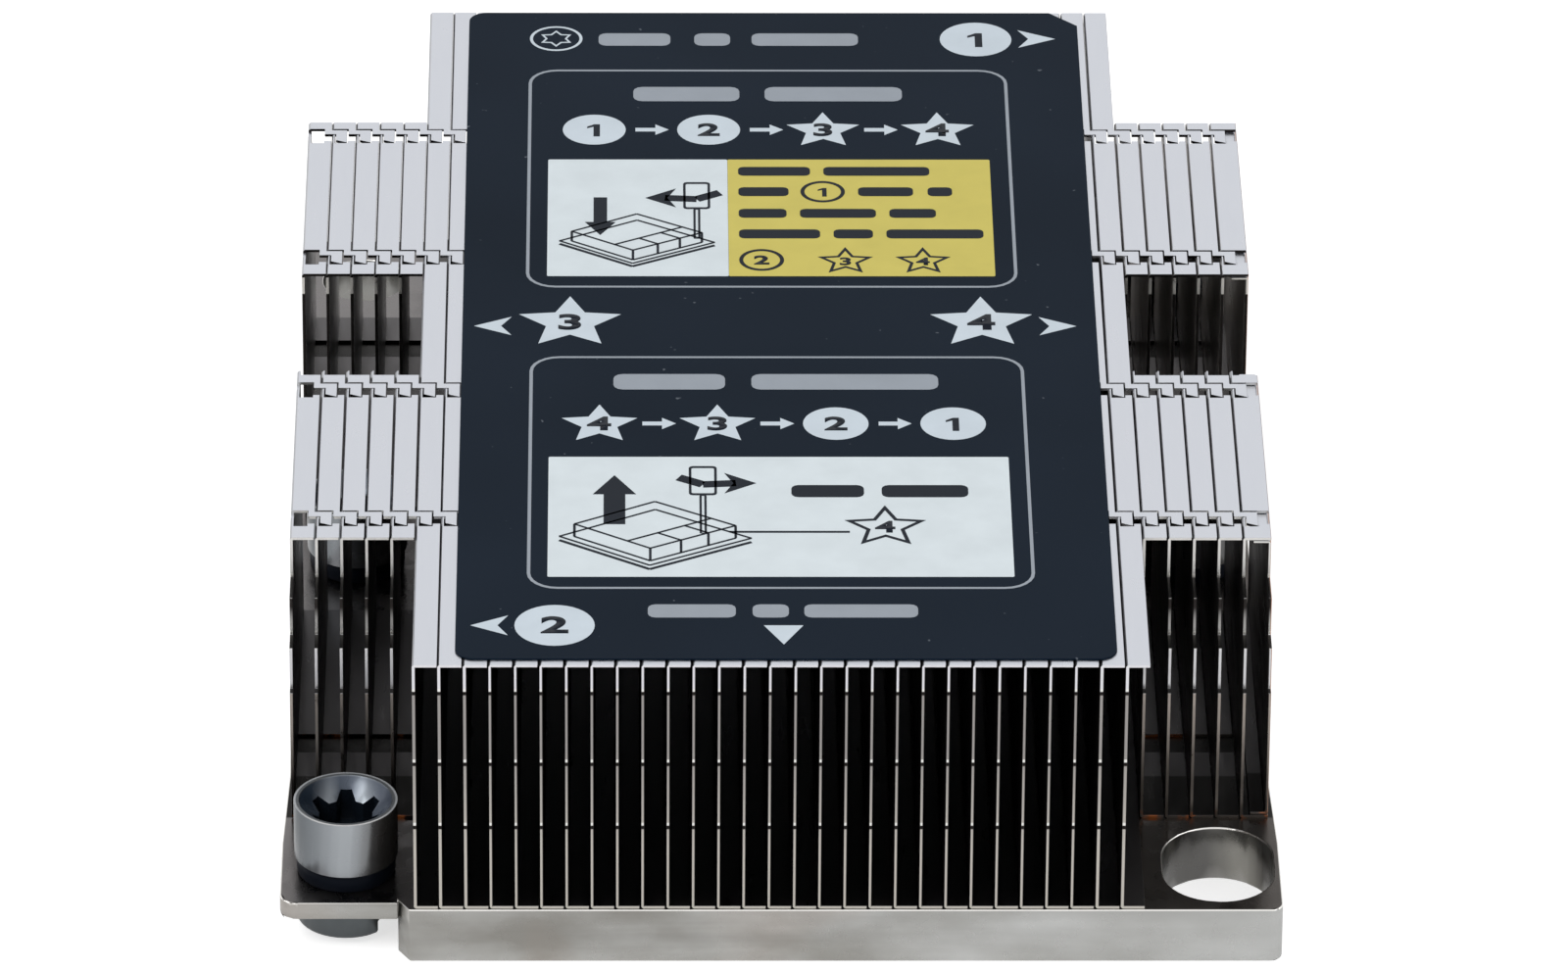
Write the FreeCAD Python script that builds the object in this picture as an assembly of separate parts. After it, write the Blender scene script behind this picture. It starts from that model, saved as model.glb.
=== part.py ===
"""Low-profile passive processor heatsink for a rack server.

A plated copper base plate carries forty folded sheet fins. Each fin is a C-section whose flanges
point to +X and hook into the next fin. Four captive nuts turn in thin ears of the base plate.

Frame: millimetres, +Z up, +Y along the air flow from the front edge to the back edge.
The origin is the centre of the base plate's underside.
"""
import FreeCAD, Part
import math
import os

from FreeCAD import Vector

os.makedirs("parts", exist_ok=True)

# ---------------------------------------------------------------- base plate
BASE_WIDTH = 78.0
BASE_LENGTH = 108.0
BASE_THICKNESS = 4.7
BASE_CORNER_RADIUS = 1.0
WAIST_DEPTH = 0.35
WAIST_TAPER = 10.0
CORNER_PAD_LENGTH = 10.0

# ---------------------------------------------------------------- ears that carry the captive nuts
EAR_WIDTH = 9.2
EAR_LENGTH = 12.6
EAR_THICKNESS = 1.5
EAR_SETBACK = 1.0
EAR_OUTER_RADIUS = 1.4
EAR_INNER_RADIUS = 2.0
PEDESTAL_CHAMFER_X = 0.9
PEDESTAL_CHAMFER_Y = 1.5
NUT_FROM_SIDE = 5.1
NUT_FROM_END = 6.2

# ---------------------------------------------------------------- guide holes, keyed by their size
GUIDE_WIDTH = 8.7
GUIDE_LENGTH = 11.0
GUIDE_REAR_DIAMETER = 7.0
GUIDE_FROM_SIDE = 4.85
GUIDE_FROM_END = 6.8

# ---------------------------------------------------------------- fins
FIN_PLANES = 40
FIN_STACK_INSET = 0.655
SHEET = 0.25
FIN_HEIGHT = 22.0
BEND_FLAT = 0.16
FLANGE_GAP = 0.08
FIN_END_MARGIN = 0.15
WALL_OVERRUN = 0.7
LEFT_WING_FINS = 5
RIGHT_WING_FINS = 6

# ---------------------------------------------------------------- wings and the pockets between them
POCKET_LENGTH = 16.7
WING_TOP_LENGTH = 25.95
WING_STEPS = ((3.6, 0.0), (3.35, 3.15), (3.65, 2.1), (None, 0.7))

# ---------------------------------------------------------------- interlocks between fins
ROW_INSET_BACK = 1.15
ROW_INSET_POCKET_BACK = 1.6
ROW_INSET_POCKET_FRONT = 1.2
ROW_INSET_FRONT = 1.8
WINDOW_LENGTH = 2.45
WINDOW_STEP = 0.40
WINDOW_STEP_SHARE = 0.68
TAB_ROOT_SHARE = 0.70
TAB_HEAD_SHARE = 0.64
TAB_CLEARANCE = 0.12
TAB_BACK_GAP = 0.22
NECK_LENGTH = 0.95
STUB_CLEARANCE = 0.11
NOTCH_CLEARANCE = 0.04
LOWER_WINDOW_LENGTH = 2.8
LOWER_WINDOW_SHIFT_FRONT = 2.2
LOWER_WINDOW_SHIFT_REAR = 3.1
OPEN_FINS_BESIDE_LABEL = 2

# ---------------------------------------------------------------- captive nuts
NUT_DIAMETER = 8.1
NUT_HEAD_HEIGHT = 4.7
NUT_SHANK_DIAMETER = 5.5
NUT_BOTTOM_Z = 0.6
MOUTH_DIAMETER = 7.3
MOUTH_DEPTH = 1.4
DRIVE_DEPTH = 3.4
DRIVE_TIP_RADIUS = 2.8
DRIVE_VALLEY_RADIUS = 2.1
DRIVE_TIP_HALF_ANGLE = 9.0
DRIVE_VALLEY_HALF_ANGLE = 9.0
DRIVE_LOBES = 6
THREAD_BORE_DIAMETER = 3.3
RUNNING_CLEARANCE = 0.05

COLLAR_DIAMETER = 7.7
COLLAR_HEIGHT = 1.55
RETAINER_DIAMETER = 7.9
RETAINER_OPENING = 100.0

# ---------------------------------------------------------------- label
LABEL_THICKNESS = 0.15
LABEL_INSET_LEFT = 3.3
LABEL_INSET_RIGHT = 2.5
LABEL_INSET_FRONT = 0.9
LABEL_INSET_BACK = 0.45
LABEL_CORNER_RADIUS = 1.5
LABEL_CUT_CORNER = 2.3

# ---------------------------------------------------------------- worked-out places
HALF_WIDTH = BASE_WIDTH / 2
HALF_LENGTH = BASE_LENGTH / 2
FIN_BOTTOM_Z = BASE_THICKNESS
FIN_TOP_Z = FIN_BOTTOM_Z + FIN_HEIGHT
FIN_HALF_LENGTH = HALF_LENGTH - FIN_END_MARGIN
STACK_WIDTH = BASE_WIDTH - 2 * FIN_STACK_INSET
FIN_PITCH = (STACK_WIDTH - SHEET) / (FIN_PLANES - 1)
FLANGE_EDGE_X = FIN_PITCH - FLANGE_GAP
WING_INNER_Y = POCKET_LENGTH / 2
WING_OUTER_TOP_Y = WING_INNER_Y + WING_TOP_LENGTH
WING_REACH = sum(step for height, step in WING_STEPS)
WING_OUTER_Y = WING_OUTER_TOP_Y + WING_REACH
ROW_BACK_EDGES = (
    WING_OUTER_TOP_Y - ROW_INSET_BACK,
    WING_INNER_Y + ROW_INSET_POCKET_BACK + WINDOW_LENGTH,
    -WING_INNER_Y - ROW_INSET_POCKET_FRONT,
    -WING_OUTER_TOP_Y + ROW_INSET_FRONT + WINDOW_LENGTH,
)
NUT_X = HALF_WIDTH - NUT_FROM_SIDE
NUT_END_Y = HALF_LENGTH - NUT_FROM_END
NUT_PLACES = ((NUT_X, NUT_END_Y), (-NUT_X, -NUT_END_Y), (-NUT_X, 0.0), (NUT_X, 0.0))
NUT_HEAD_Z = BASE_THICKNESS + COLLAR_HEIGHT + RUNNING_CLEARANCE
NUT_TOP_Z = NUT_HEAD_Z + NUT_HEAD_HEIGHT
EAR_BOTTOM_Z = BASE_THICKNESS - EAR_THICKNESS
SHANK_HOLE_DIAMETER = NUT_SHANK_DIAMETER + 2 * RUNNING_CLEARANCE


def plane_x(index):
    """Left face of the fin wall with this number, counted from 0 at the left."""
    return index * FIN_PITCH - STACK_WIDTH / 2


def box(low, high):
    """Box between two opposite corners."""
    size = [h - l for l, h in zip(low, high)]
    return Part.makeBox(size[0], size[1], size[2], Vector(*low))


def cylinder(diameter, x, y, low_z, high_z):
    """Upright cylinder between two heights."""
    return Part.makeCylinder(diameter / 2, high_z - low_z, Vector(x, y, low_z))


def prism(points, low_z, high_z):
    """Upright prism over a plan outline of (x, y) points."""
    corners = [Vector(x, y, low_z) for x, y in points]
    face = Part.Face(Part.makePolygon(corners + corners[:1]))
    return face.extrude(Vector(0, 0, high_z - low_z))


def turned(solid):
    """Half a turn about the plate's upright centre line."""
    copy = solid.copy()
    copy.rotate(Vector(0, 0, 0), Vector(0, 0, 1), 180)
    return copy


def upright_edges(solid, x, y, reach=0.01):
    """Upright edges of a solid that stand at one place in plan."""
    found = []
    for edge in solid.Edges:
        middle = edge.BoundBox.Center
        slim = edge.BoundBox.XLength < reach and edge.BoundBox.YLength < reach
        if slim and abs(middle.x - x) < reach and abs(middle.y - y) < reach:
            found.append(edge)
    return found


def save(shape, name):
    """Write one sub-part as a STEP file."""
    shape.exportStep(os.path.join("parts", name + ".step"))


# ================================================================ base plate
def waist_cut():
    """Shallow relief along the right side, tapered towards both corner pads."""
    pad_y = HALF_LENGTH - CORNER_PAD_LENGTH
    waist_y = pad_y - WAIST_TAPER
    outline = [(HALF_WIDTH, -pad_y), (HALF_WIDTH + 1, -pad_y), (HALF_WIDTH + 1, pad_y), (HALF_WIDTH, pad_y),
               (HALF_WIDTH - WAIST_DEPTH, waist_y), (HALF_WIDTH - WAIST_DEPTH, -waist_y)]
    return prism(outline, -1, BASE_THICKNESS + 1)


def ear_recess(low_y, high_y, rounded):
    """Hollow under an ear of the left side, open outwards, with rounded inner corners."""
    inner_x = EAR_WIDTH - HALF_WIDTH
    solid = box((-HALF_WIDTH - 1, low_y, -1), (inner_x, high_y, EAR_BOTTOM_Z))
    corners = []
    for y in rounded:
        corners += upright_edges(solid, inner_x, y)
    return solid.makeFillet(EAR_INNER_RADIUS, corners)


def front_left_cuts():
    """What is cut from the corner of the plate that carries the front nut."""
    inner_x = EAR_WIDTH - HALF_WIDTH
    recess_end = EAR_LENGTH - HALF_LENGTH
    front = box((-HALF_WIDTH - 1, -HALF_LENGTH - 1, -1),
                (inner_x, EAR_SETBACK - HALF_LENGTH, BASE_THICKNESS + 1))
    recess = ear_recess(-HALF_LENGTH - 1, recess_end, (recess_end,))
    chamfer_y = PEDESTAL_CHAMFER_Y - HALF_LENGTH
    chamfer = prism([(inner_x, chamfer_y), (inner_x + PEDESTAL_CHAMFER_X, -HALF_LENGTH), (inner_x, -HALF_LENGTH)],
                    -1, BASE_THICKNESS + 1)
    return [front, recess, chamfer]


def guide_slot():
    """Obround guide hole of the front right corner."""
    x = HALF_WIDTH - GUIDE_FROM_SIDE
    y = GUIDE_FROM_END - HALF_LENGTH
    half_width = GUIDE_WIDTH / 2
    half_straight = GUIDE_LENGTH / 2 - half_width
    low_z = -1
    high_z = BASE_THICKNESS + 1
    middle = box((x - half_width, y - half_straight, low_z), (x + half_width, y + half_straight, high_z))
    ends = [cylinder(GUIDE_WIDTH, x, y + sign * half_straight, low_z, high_z) for sign in (-1, 1)]
    return middle.fuse(ends).removeSplitter()


def base_plate():
    """Plate with waisted sides, four thin ears, two guide holes and four shank holes."""
    plate = box((-HALF_WIDTH, -HALF_LENGTH, 0), (HALF_WIDTH, HALF_LENGTH, BASE_THICKNESS))
    right_corners = upright_edges(plate, HALF_WIDTH, -HALF_LENGTH)
    left_corners = upright_edges(plate, -HALF_WIDTH, HALF_LENGTH)
    plate = plate.makeFillet(BASE_CORNER_RADIUS, right_corners + left_corners)
    side = waist_cut()
    rear_hole = cylinder(GUIDE_REAR_DIAMETER, GUIDE_FROM_SIDE - HALF_WIDTH, HALF_LENGTH - GUIDE_FROM_END,
                         -1, BASE_THICKNESS + 1)
    middle = ear_recess(-EAR_LENGTH / 2, EAR_LENGTH / 2, (-EAR_LENGTH / 2, EAR_LENGTH / 2))
    tools = [side, turned(side), guide_slot(), rear_hole, middle, turned(middle)]
    for cut in front_left_cuts():
        tools += [cut, turned(cut)]
    for x, y in NUT_PLACES:
        tools.append(cylinder(SHANK_HOLE_DIAMETER, x, y, -1, BASE_THICKNESS + 1))
    plate = plate.cut(tools).removeSplitter()
    ear_corner_y = HALF_LENGTH - EAR_SETBACK
    ear_corners = upright_edges(plate, -HALF_WIDTH, -ear_corner_y) + upright_edges(plate, HALF_WIDTH, ear_corner_y)
    return plate.makeFillet(EAR_OUTER_RADIUS, ear_corners)


# ================================================================ fins
def channel_profile(low_z, high_z, flange_x):
    """C-section in the XZ plane at y = 0, with its wall at x = 0 and its flanges ending at flange_x."""
    outline = [
        (flange_x, low_z), (BEND_FLAT, low_z), (0, low_z + BEND_FLAT),
        (0, high_z - BEND_FLAT), (BEND_FLAT, high_z), (flange_x, high_z),
        (flange_x, high_z - SHEET), (SHEET, high_z - SHEET), (SHEET, low_z + SHEET), (flange_x, low_z + SHEET),
    ]
    corners = [Vector(x, 0, z) for x, z in outline]
    return Part.Face(Part.makePolygon(corners + corners[:1]))


def channel(low_z, high_z, flange_x, front_y, back_y):
    """C-section sheet between two ends along Y."""
    face = channel_profile(low_z, high_z, flange_x)
    face.translate(Vector(0, front_y, 0))
    return face.extrude(Vector(0, back_y - front_y, 0))


def window(row_y):
    """Opening through the upper flange and, at its back, a notch through the wall for the neighbour's neck."""
    reach_x = FIN_PITCH + 0.2
    step_x = WINDOW_STEP_SHARE * FIN_PITCH
    front_y = row_y - WINDOW_LENGTH
    notch_y = row_y - NECK_LENGTH - NOTCH_CLEARANCE
    outline = [(-0.1, row_y), (reach_x, row_y), (reach_x, front_y + WINDOW_STEP), (step_x, front_y + WINDOW_STEP),
               (step_x, front_y), (SHEET, front_y), (SHEET, notch_y), (-0.1, notch_y)]
    return prism(outline, FIN_TOP_Z - SHEET - NOTCH_CLEARANCE, FIN_TOP_Z + 1)


def tab(row_y):
    """Barbed tab that reaches from the upper flange through the next wall into the next fin's window."""
    root_x = TAB_ROOT_SHARE * FIN_PITCH
    head_x = FIN_PITCH + SHEET + STUB_CLEARANCE
    far_x = FIN_PITCH + TAB_HEAD_SHARE * FIN_PITCH
    back_y = row_y - TAB_BACK_GAP
    neck_y = row_y - NECK_LENGTH + NOTCH_CLEARANCE
    tip_y = row_y - WINDOW_LENGTH + TAB_CLEARANCE
    outline = [
        (root_x, row_y + SHEET), (FLANGE_EDGE_X, row_y + SHEET), (FLANGE_EDGE_X, back_y),
        (far_x, back_y), (far_x, tip_y), (head_x, tip_y + WINDOW_STEP), (head_x, neck_y), (root_x, neck_y),
    ]
    return prism(outline, FIN_TOP_Z - SHEET, FIN_TOP_Z)


def lower_window(back_y):
    """Plain opening through the lower flange."""
    return box((SHEET, back_y - LOWER_WINDOW_LENGTH, FIN_BOTTOM_Z - 1), (FIN_PITCH, back_y, FIN_BOTTOM_Z + SHEET))


def flange_relief(back_y):
    """Strip of both flanges taken off behind the wall's back end."""
    return box((SHEET, back_y - WALL_OVERRUN, FIN_BOTTOM_Z - 1), (FIN_PITCH * 2, back_y + 1, FIN_TOP_Z + 1))


def stair_cut(sign):
    """Stepped corner taken off the outer end of a wing fin; sign is -1 in front and +1 behind."""
    outline = []
    y = WING_OUTER_TOP_Y
    z = FIN_TOP_Z
    reach_y = WING_OUTER_Y + 1
    points = [(reach_y, FIN_TOP_Z + 1), (y, FIN_TOP_Z + 1)]
    for height, step in WING_STEPS:
        y += step
        points.append((y, z))
        if height is None:
            break
        z -= height
        points.append((y, z))
    points.append((reach_y, points[-1][1]))
    corners = [Vector(-1, sign * point_y, point_z) for point_y, point_z in points]
    face = Part.Face(Part.makePolygon(corners + corners[:1]))
    return face.extrude(Vector(FIN_PITCH * 3, 0, 0))


def rows_between(front_y, back_y):
    """Interlock rows whose windows lie between two ends."""
    return [row for row in ROW_BACK_EDGES if front_y < row - WINDOW_LENGTH and row < back_y]


def hooked_fin(front_y, back_y, window_rows, tab_rows, flange_x=FLANGE_EDGE_X):
    """Fin with windows for the hooks of the fin before it and tabs that hook into the next."""
    fin = channel(FIN_BOTTOM_Z, FIN_TOP_Z, flange_x, front_y, back_y)
    if window_rows:
        fin = fin.cut([window(row_y) for row_y in window_rows])
    if tab_rows:
        fin = fin.fuse([tab(row_y) for row_y in tab_rows])
    return fin.removeSplitter()


def wing_limits(side):
    """Ends of a wing fin along Y: the whole fin, then its upper flange."""
    if side < 0:
        return -WING_OUTER_Y, -WING_INNER_Y + WALL_OVERRUN, -WING_OUTER_TOP_Y, -WING_INNER_Y
    return WING_INNER_Y, WING_OUTER_Y, WING_INNER_Y, WING_OUTER_TOP_Y


def wing_fin(side, last=False):
    """Short fin of a wing; side is -1 in front of the pocket and +1 behind it."""
    front_y, back_y, top_front_y, top_back_y = wing_limits(side)
    flange_x = FIN_PITCH + SHEET if last else FLANGE_EDGE_X
    rows = rows_between(top_front_y, top_back_y)
    lower_y = min(rows) + LOWER_WINDOW_SHIFT_FRONT if side < 0 else max(rows) + LOWER_WINDOW_SHIFT_REAR
    fin = hooked_fin(front_y, back_y, rows, () if last else rows, flange_x=flange_x)
    cuts = [stair_cut(side), lower_window(lower_y)]
    if side < 0:
        cuts.append(flange_relief(back_y))
    return fin.cut(cuts).removeSplitter()


def end_fin(side):
    """Closing channel of the right wing, tucked between the last fin's flanges and facing it."""
    front_y, back_y, top_front_y, top_back_y = wing_limits(side)
    tuck = SHEET + NOTCH_CLEARANCE
    fin = channel(FIN_BOTTOM_Z + tuck, FIN_TOP_Z - tuck, FIN_PITCH * 0.75, front_y, back_y)
    fin = fin.mirror(Vector(SHEET / 2, 0, 0), Vector(1, 0, 0))
    stair = stair_cut(side)
    stair.translate(Vector(-FIN_PITCH, 0, 0))
    return fin.cut(stair).removeSplitter()


def middle_fins(first, last):
    """Full-length fins of the middle block by plane. Under the label they are drawn without their hooks."""
    ends = (-FIN_HALF_LENGTH, FIN_HALF_LENGTH)
    first_covered = first + OPEN_FINS_BESIDE_LABEL
    last_covered = last - OPEN_FINS_BESIDE_LABEL
    fins = {index: hooked_fin(*ends, (), ()) for index in range(first_covered + 1, last_covered + 1)}
    fins[first_covered] = hooked_fin(*ends, ROW_BACK_EDGES, ())
    for index in (*range(first, first_covered), *range(last_covered + 1, last + 1)):
        fins[index] = hooked_fin(*ends, ROW_BACK_EDGES, ROW_BACK_EDGES)
    return fins


def save_fins():
    """Forty planes of fins; both wings are broken by a pocket."""
    last_middle = FIN_PLANES - RIGHT_WING_FINS - 1
    middle = middle_fins(LEFT_WING_FINS, last_middle)
    sides = {"front": -1, "rear": 1}
    wings = {name: wing_fin(side) for name, side in sides.items()}
    lasts = {name: wing_fin(side, last=True) for name, side in sides.items()}
    ends = {name: end_fin(side) for name, side in sides.items()}
    for index in range(FIN_PLANES):
        number = "fin_%02d" % (index + 1)
        if index in middle:
            pieces = {number: middle[index]}
        elif index == FIN_PLANES - 1:
            pieces = {"end_fin_" + name: ends[name] for name in sides}
        elif index == FIN_PLANES - 2:
            pieces = {number + "_" + name: lasts[name] for name in sides}
        else:
            pieces = {number + "_" + name: wings[name] for name in sides}
        for name, shape in pieces.items():
            placed = shape.copy()
            placed.translate(Vector(plane_x(index), 0, 0))
            save(placed, name)


# ================================================================ captive nuts and what holds them
def drive_outline():
    """Plan of the six-lobed drive: blunt tips and blunt valleys by turns, with one tip towards +Y."""
    points = []
    for lobe in range(2 * DRIVE_LOBES):
        middle = 90.0 + 180.0 * lobe / DRIVE_LOBES
        is_tip = lobe % 2 == 0
        radius = DRIVE_TIP_RADIUS if is_tip else DRIVE_VALLEY_RADIUS
        spread = DRIVE_TIP_HALF_ANGLE if is_tip else DRIVE_VALLEY_HALF_ANGLE
        for angle in (math.radians(middle - spread), math.radians(middle + spread)):
            points.append((radius * math.cos(angle), radius * math.sin(angle)))
    return points


def nut():
    """Turned captive nut about the Z axis: a funnel mouth, a six-lobed drive and a thread bore."""
    mouth = Part.makeCone(DRIVE_VALLEY_RADIUS, MOUTH_DIAMETER / 2, MOUTH_DEPTH, Vector(0, 0, NUT_TOP_Z - MOUTH_DEPTH))
    drive = prism(drive_outline(), NUT_TOP_Z - DRIVE_DEPTH, NUT_TOP_Z)
    bore = cylinder(THREAD_BORE_DIAMETER, 0, 0, NUT_BOTTOM_Z - 1, NUT_TOP_Z)
    head = cylinder(NUT_DIAMETER, 0, 0, NUT_HEAD_Z, NUT_TOP_Z)
    shank = cylinder(NUT_SHANK_DIAMETER, 0, 0, NUT_BOTTOM_Z, NUT_HEAD_Z)
    return head.fuse(shank).cut([mouth, drive, bore])


def ring(outer, inner, low_z, high_z, opening=0.0):
    """Flat ring about the Z axis. An open ring has its opening, in degrees, centred on +X."""
    disc = Part.makeCylinder(outer / 2, high_z - low_z, Vector(0, 0, low_z), Vector(0, 0, 1), 360 - opening)
    disc.rotate(Vector(0, 0, 0), Vector(0, 0, 1), opening / 2)
    return disc.cut(cylinder(inner, 0, 0, low_z - 1, high_z + 1))


def at_each_nut(shape):
    """One copy of a solid at each nut, with its +X side towards the middle of the plate."""
    copies = []
    for x, y in NUT_PLACES:
        copy = turned(shape) if x > 0 else shape.copy()
        copy.translate(Vector(x, y, 0))
        copies.append(copy)
    return copies


def save_nuts():
    """Four nuts, the collars under their heads and the snap rings under the ears."""
    for number, solid in enumerate(at_each_nut(nut()), start=1):
        save(solid, "nut_%d" % number)
    collar = ring(COLLAR_DIAMETER, SHANK_HOLE_DIAMETER, BASE_THICKNESS, BASE_THICKNESS + COLLAR_HEIGHT)
    save(Part.makeCompound(at_each_nut(collar)), "nut_collars")
    retainer = ring(RETAINER_DIAMETER, SHANK_HOLE_DIAMETER, NUT_BOTTOM_Z, EAR_BOTTOM_Z, RETAINER_OPENING)
    save(Part.makeCompound(at_each_nut(retainer)), "nut_retainers")


# ================================================================ label
def label():
    """Thin label on the middle block, with three rounded corners and one cut corner."""
    left = plane_x(LEFT_WING_FINS) + LABEL_INSET_LEFT
    right = plane_x(FIN_PLANES - RIGHT_WING_FINS) - FLANGE_GAP - LABEL_INSET_RIGHT
    front = -HALF_LENGTH + LABEL_INSET_FRONT
    back = HALF_LENGTH - LABEL_INSET_BACK
    outline = [(left, front), (right, front), (right, back - LABEL_CUT_CORNER),
               (right - LABEL_CUT_CORNER, back), (left, back)]
    sheet = prism(outline, FIN_TOP_Z, FIN_TOP_Z + LABEL_THICKNESS)
    corners = []
    for x, y in ((left, front), (right, front), (left, back)):
        corners += upright_edges(sheet, x, y)
    return sheet.makeFillet(LABEL_CORNER_RADIUS, corners)


save(base_plate(), "base_plate")
save_fins()
save_nuts()
save(label(), "label")
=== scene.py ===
"""Looks of the rack-server heatsink: materials, printed label, floor, light and camera."""
import math

import bmesh
import bpy
from mathutils import Matrix, Vector

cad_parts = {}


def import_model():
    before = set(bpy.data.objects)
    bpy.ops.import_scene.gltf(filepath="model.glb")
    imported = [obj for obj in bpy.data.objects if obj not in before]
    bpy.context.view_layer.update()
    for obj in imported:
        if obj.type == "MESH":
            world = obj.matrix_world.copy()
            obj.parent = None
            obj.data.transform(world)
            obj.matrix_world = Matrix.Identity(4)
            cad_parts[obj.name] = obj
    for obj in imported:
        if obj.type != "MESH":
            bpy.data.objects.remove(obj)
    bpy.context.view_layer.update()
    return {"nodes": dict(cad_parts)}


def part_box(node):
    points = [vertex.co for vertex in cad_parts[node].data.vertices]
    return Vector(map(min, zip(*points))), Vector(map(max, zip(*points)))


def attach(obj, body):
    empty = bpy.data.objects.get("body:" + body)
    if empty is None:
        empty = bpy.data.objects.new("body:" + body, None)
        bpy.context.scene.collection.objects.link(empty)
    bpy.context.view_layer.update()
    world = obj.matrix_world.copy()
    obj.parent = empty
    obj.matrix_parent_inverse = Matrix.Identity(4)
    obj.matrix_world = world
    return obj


MM = 0.001
BODY = "heatsink"

# Camera, set by its target, its turn about each axis and its distance.
CAMERA_TARGET = Vector((0.67, -2.27, 13.0)) * MM
CAMERA_YAW = math.radians(0.807)
CAMERA_PITCH = math.radians(29.81)
CAMERA_ROLL = math.radians(0.42)
CAMERA_DISTANCE = 1038.9 * MM
CAMERA_LENS = 295.2
CAMERA_SENSOR = 36.0

# Soft lamps: name, place and side in metres, and power in watts.
LAMPS = (("key", (-0.5, -0.45, 0.75), 0.5, 3.0), ("fill", (0.7, -0.3, 0.5), 0.6, 1.2))

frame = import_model()
nodes = frame["nodes"]

# Places that the looks need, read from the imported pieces.
base_low, base_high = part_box("base_plate")
plain_fin_low, plain_fin_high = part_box("fin_20")
wing_low, wing_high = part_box("fin_01_rear")
BASE_TOP = base_high.z
FIN_TOP = plain_fin_high.z
FLANGE_REACH = plain_fin_high.x - plain_fin_low.x
WING_INNER_Y, WING_OUTER_Y = wing_low.y, wing_high.y
LABEL_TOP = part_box("label")[1].z

# Just short of the stack's outer walls, where the looks of the outermost surfaces begin.
stack_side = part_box("end_fin_front")[1].x
STACK_SIDE_BAND = (stack_side - 0.145 * MM, stack_side - 0.045 * MM)

# The front ends of the wings' flanges, the heights where the wings' front edges step back, and the
# heights of the small marks on the front edges, which carry painted glints, all from the ends and
# tops of the fins.
WING_FLANGE_FRONT_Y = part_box("fin_01_front")[0].y + 5.95 * MM
LOWER_STEP, MIDDLE_STEP, UPPER_STEP = (FIN_TOP - depth * MM for depth in (10.7, 7.1, 3.7))
WING_KNOTS = [FIN_TOP - depth * MM for depth in (3.4, 6.75)]
MIDDLE_KNOTS = [FIN_TOP - depth * MM for depth in (2.55, 8.9, 14.6)]
KNOT_REACH = 0.16 * MM

# The middle of the base plate's front guide slot, and how far its walls reach from there.
SLOT_X, SLOT_Y = base_high.x - 4.85 * MM, base_low.y + 6.8 * MM
SLOT_REACH_X, SLOT_REACH_Y = 4.6 * MM, 5.8 * MM


# ------------------------------------------------------------------ materials
def srgb(red, green, blue):
    """Linear colour with full alpha from display values between 0 and 255."""
    channels = []
    for value in (red, green, blue):
        share = value / 255
        channels.append(share / 12.92 if share <= 0.04045 else ((share + 0.055) / 1.055) ** 2.4)
    return (*channels, 1.0)


WHITE = (1.0, 1.0, 1.0, 1.0)
SHEET = srgb(206, 209, 216)
# colour of the painted highlight on the wings' front edges
EDGE_BRIGHT = srgb(212, 211, 208)


class Graph:
    """Short calls for the nodes of one material or world."""

    def __init__(self, owner):
        owner.use_nodes = True
        self.tree = owner.node_tree

    def node(self, kind, **values):
        """New node with its plain attributes set."""
        made = self.tree.nodes.new(kind)
        for key, value in values.items():
            setattr(made, key, value)
        return made

    def link(self, output, target):
        self.tree.links.new(output, target)

    def ramp(self, factor, low, high, start, end):
        """Remap a factor from low..high to start..end, clamped."""
        made = self.node("ShaderNodeMapRange")
        for key, value in (("From Min", low), ("From Max", high), ("To Min", start), ("To Max", end)):
            made.inputs[key].default_value = value
        self.link(factor, made.inputs["Value"])
        return made.outputs["Result"]

    def rise(self, factor, low, high, top=1.0):
        """Zero up to low, then up to the top value at high."""
        return self.ramp(factor, low, high, 0.0, top)

    def fall(self, factor, low, high, bottom=0.0):
        """One up to low, then down to the bottom value at high."""
        return self.ramp(factor, low, high, 1.0, bottom)

    def math(self, operation, *values):
        """One math node over numbers or outputs."""
        made = self.node("ShaderNodeMath", operation=operation)
        for socket, value in zip(made.inputs, values):
            if isinstance(value, (int, float)):
                socket.default_value = value
            else:
                self.link(value, socket)
        return made.outputs[0]

    def times(self, *masks):
        """Product of two or more masks."""
        product = masks[0]
        for mask in masks[1:]:
            product = self.math("MULTIPLY", product, mask)
        return product

    def either(self, *masks):
        """Largest of two or more masks."""
        largest = masks[0]
        for mask in masks[1:]:
            largest = self.math("MAXIMUM", largest, mask)
        return largest

    def near(self, value, target, reach):
        """One where a value lies within reach of the target, else zero."""
        return self.math("COMPARE", value, target, reach)

    def backdrop_rays(self):
        """One for rays from the camera, a reflection or glass, else zero."""
        rays = self.node("ShaderNodeLightPath").outputs
        return self.either(rays["Is Camera Ray"], rays["Is Glossy Ray"], rays["Is Transmission Ray"])


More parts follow.
